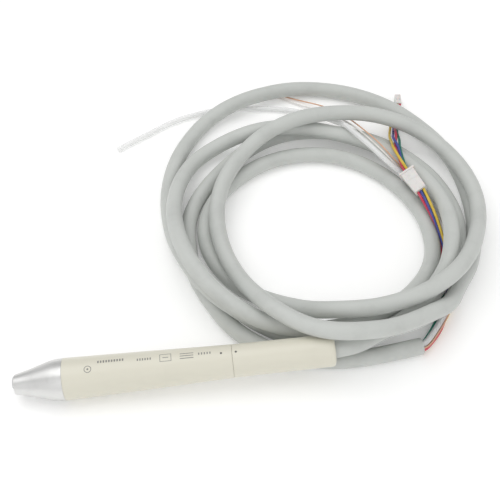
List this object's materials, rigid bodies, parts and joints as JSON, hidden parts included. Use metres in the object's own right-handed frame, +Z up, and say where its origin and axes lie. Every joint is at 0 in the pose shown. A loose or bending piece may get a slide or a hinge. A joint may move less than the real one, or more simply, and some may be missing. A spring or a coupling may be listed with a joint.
{
  "type": "ultrasonic scaler handpiece with hose",
  "caption": "Slim detachable ultrasonic scaler handpiece on a long grey silicone hose lying in loose loops, with lead wires, water tube and small white connectors at its end.",
  "frame": {"origin": "on the resting surface, below the middle of the handpiece and its connector shell", "axes": "+X along the handpiece from the nose to the hose, +Z up; the hose lies on the +Y side"},
  "size_m": [0.2164, 0.1815, 0.0302],
  "materials": {
    "satin_aluminium": "fine satin, turned",
    "clear_guide": "clear polished",
    "board_green": "solder mask",
    "led_cream": "moulded lens",
    "cream_shell": "fine satin mould finish, warm off-white",
    "inner_plastic": "plain moulding",
    "titanium": "turned titanium",
    "seal_black": "matt",
    "seal_red": "matt silicone",
    "piezo_ceramic": "fired ceramic, as dense as iron",
    "contact_brass": "gold flash",
    "steel": "turned",
    "dark_plastic": "glass-filled moulding",
    "wire_red": "extruded insulation",
    "wire_black": "extruded insulation",
    "inner_bundle": "taped bundle",
    "clear_tube": "milky translucent tube",
    "hose_silicone": "matt grey silicone skin",
    "wire_blue": "extruded insulation",
    "wire_green": "extruded insulation",
    "wire_yellow": "extruded insulation",
    "wire_orange": "thin extruded insulation",
    "wire_white": "thin extruded insulation",
    "connector_white": "nylon moulding"
  },
  "bodies": {
    "connector_end": {"rear_shell": "cream_shell", "socket_insert": "dark_plastic", "latch_o_ring": "seal_red", "inner_water_line": "clear_tube", "inner_lead_bundle": "inner_bundle", "hose_clamp_nut": "steel", "contact_socket_1": "contact_brass", "contact_socket_2": "contact_brass", "contact_socket_3": "contact_brass", "contact_socket_4": "contact_brass", "hose_stretch_1": "hose_silicone", "hose_stretch_2": "hose_silicone", "hose_stretch_3": "hose_silicone", "hose_stretch_4": "hose_silicone", "hose_stretch_5": "hose_silicone", "hose_stretch_6": "hose_silicone", "lead_red_hose_side": "wire_red", "lead_blue_hose_side": "wire_blue", "lead_green_hose_side": "wire_green", "lead_yellow_hose_side": "wire_yellow", "lead_red_plug_side": "wire_red", "lead_blue_plug_side": "wire_blue", "lead_green_plug_side": "wire_green", "lead_yellow_plug_side": "wire_yellow", "lamp_lead_orange": "wire_orange", "lamp_lead_white": "wire_white", "water_tube": "clear_tube", "inline_socket_housing": "connector_white", "inline_plug_housing": "connector_white", "end_plug_housing": "connector_white"},
    "handpiece": {"back_mass": "steel", "contact_block": "dark_plastic", "contact_pin_1": "contact_brass", "contact_pin_2": "contact_brass", "contact_pin_3": "contact_brass", "contact_pin_4": "contact_brass", "electrode_1": "contact_brass", "electrode_2": "contact_brass", "electrode_3": "contact_brass", "electrode_4": "contact_brass", "front_o_ring": "seal_black", "handpiece_housing": "cream_shell", "horn": "titanium", "lamp_board": "board_green", "lamp_led_1": "led_cream", "lamp_led_2": "led_cream", "lamp_led_3": "led_cream", "lamp_led_4": "led_cream", "lead_live": "wire_red", "lead_return": "wire_black", "piezo_ring_1": "piezo_ceramic", "piezo_ring_2": "piezo_ceramic", "piezo_ring_3": "piezo_ceramic", "piezo_ring_4": "piezo_ceramic", "preload_bolt": "steel", "transducer_sleeve": "inner_plastic", "water_nipple": "steel", "water_seal_ring": "seal_black"},
    "light_guide": {"light_guide_ring": "clear_guide"},
    "nozzle": {"nozzle_cap": "satin_aluminium"}
  },
  "joints": [
    {"name": "handpiece_pull", "type": "slide", "parent": "connector_end", "child": "handpiece", "axis": [-0.9983, 0, -0.0576], "range_m": [0, 0.016]},
    {"name": "nose_slide", "type": "slide", "parent": "handpiece", "child": "light_guide", "axis": [-0.9983, 0, -0.0576], "range_m": [0, 0.006]},
    {"name": "nozzle_unscrew", "type": "hinge", "parent": "light_guide", "child": "nozzle", "pos_m": [-0.05681, 0, 0.00824], "axis": [-0.9983, 0, -0.0576], "range_deg": [0, 1800]}
  ],
  "couplings": [
    {"joint": "nose_slide", "follows": "nozzle_unscrew", "m_per_rad": 0.00015915}
  ]
}
